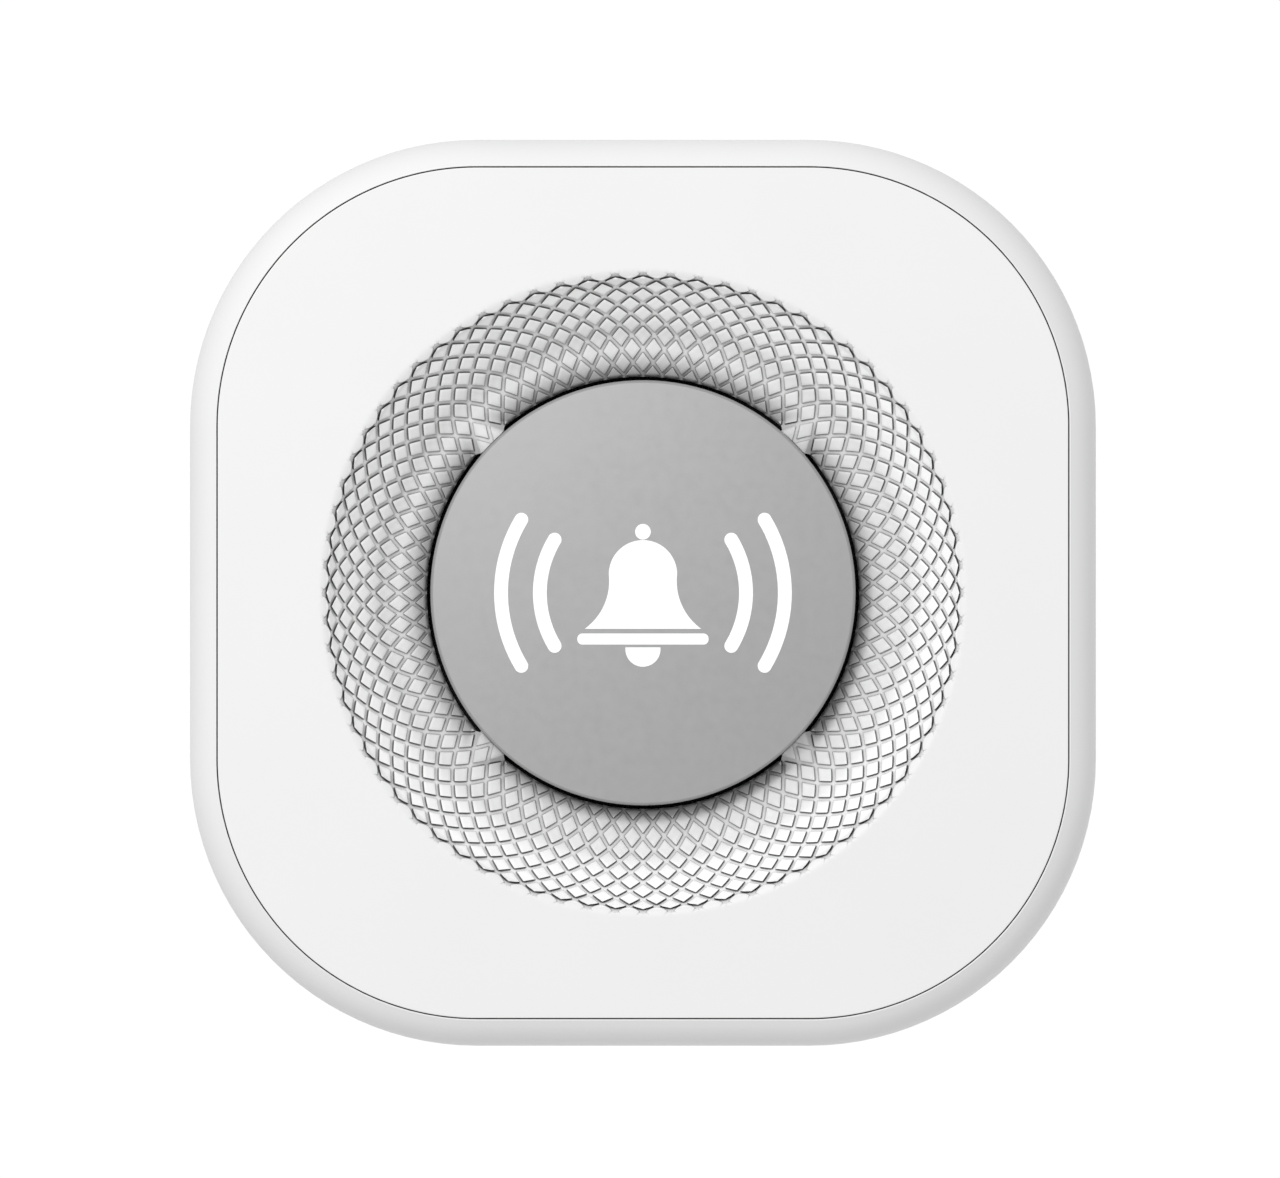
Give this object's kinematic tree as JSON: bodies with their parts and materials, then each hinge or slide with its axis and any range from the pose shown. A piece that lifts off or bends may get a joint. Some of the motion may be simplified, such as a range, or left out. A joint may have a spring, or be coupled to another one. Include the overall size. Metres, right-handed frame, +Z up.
{
  "type": "alarm siren",
  "caption": "Square wall alarm siren with large rounded corners, a knurled concave sound bowl round a fixed grey disc, a seamed rounded rim and a twist-off wall bracket.",
  "frame": {"origin": "centre of the wall bracket's back, on the wall plane", "axes": "+Z up the wall, +Y into the wall, the face looks along -Y"},
  "size_m": [0.098, 0.04, 0.098],
  "materials": {
    "cover_plastic": "satin moulded ABS, white",
    "housing_plastic": "satin moulded ABS, white",
    "disc_plastic": "satin silver-grey lacquer on moulded plastic",
    "symbol_print": "satin white ink, flush with the disc",
    "bracket_plastic": "matt moulded ABS, off-white",
    "mesh_cloth": "fine black woven acoustic cloth",
    "sounder_plastic": "matt black moulded plastic",
    "piezo_brass": "rolled brass, dull",
    "piezo_white": "fired piezo ceramic with a silvered face",
    "solder_tin": "tinned metal",
    "board_laminate": "glass-epoxy board with green solder mask",
    "screw_zinc": "zinc-plated steel",
    "chip_epoxy": "matt black epoxy",
    "shield_tin": "tinned steel can",
    "ferrite": "sintered ferrite, dark grey",
    "capacitor_can": "aluminium can in a dark sleeve",
    "tray_plastic": "moulded ABS, off-white",
    "cell_can": "AA cell in a plain dark printed sleeve",
    "contact_nickel": "nickel-plated spring steel",
    "switch_plastic": "black moulded plastic",
    "button_plastic": "grey moulded plastic"
  },
  "bodies": {
    "bracket": {"wall_bracket": "bracket_plastic"},
    "siren": {"rear_housing": "housing_plastic", "front_cover": "cover_plastic", "centre_disc": "disc_plastic", "disc_symbol": "symbol_print", "acoustic_mesh": "mesh_cloth", "sounder_housing": "sounder_plastic", "sounder_clamp": "sounder_plastic", "piezo_plate": "piezo_brass", "piezo_ceramic": "piezo_white", "sounder_terminals": "solder_tin", "circuit_board": "board_laminate", "board_screws": "screw_zinc", "housing_screws": "screw_zinc", "microcontroller": "chip_epoxy", "audio_driver": "chip_epoxy", "radio_module": "shield_tin", "antenna": "contact_nickel", "boost_transformer": "ferrite", "capacitors": "capacitor_can", "battery_tray": "tray_plastic", "contacts_positive": "contact_nickel", "contacts_negative": "contact_nickel", "battery_terminals": "contact_nickel", "tamper_switch": "switch_plastic", "tamper_spring": "contact_nickel", "pair_switch": "switch_plastic", "battery_1": "cell_can", "battery_2": "cell_can", "battery_3": "cell_can", "battery_4": "cell_can"},
    "tamper": {"tamper_plunger": "button_plastic"},
    "button": {"pair_button": "button_plastic"}
  },
  "joints": [
    {"name": "bracket_twist", "type": "hinge", "parent": "bracket", "child": "siren", "pos_m": [0, 0, 0], "axis": [0, -1, 0], "range_deg": [0, 15]},
    {"name": "tamper_slide", "type": "slide", "parent": "siren", "child": "tamper", "axis": [0, 1, 0], "range_m": [0, 0.0015], "stiffness_N_per_m": 300, "springref_m": 0.004, "deforming": ["tamper_spring"]},
    {"name": "pair_button_press", "type": "slide", "parent": "siren", "child": "button", "axis": [0, -1, 0], "range_m": [0, 0.0008], "stiffness_N_per_m": 600, "springref_m": -0.0005}
  ]
}
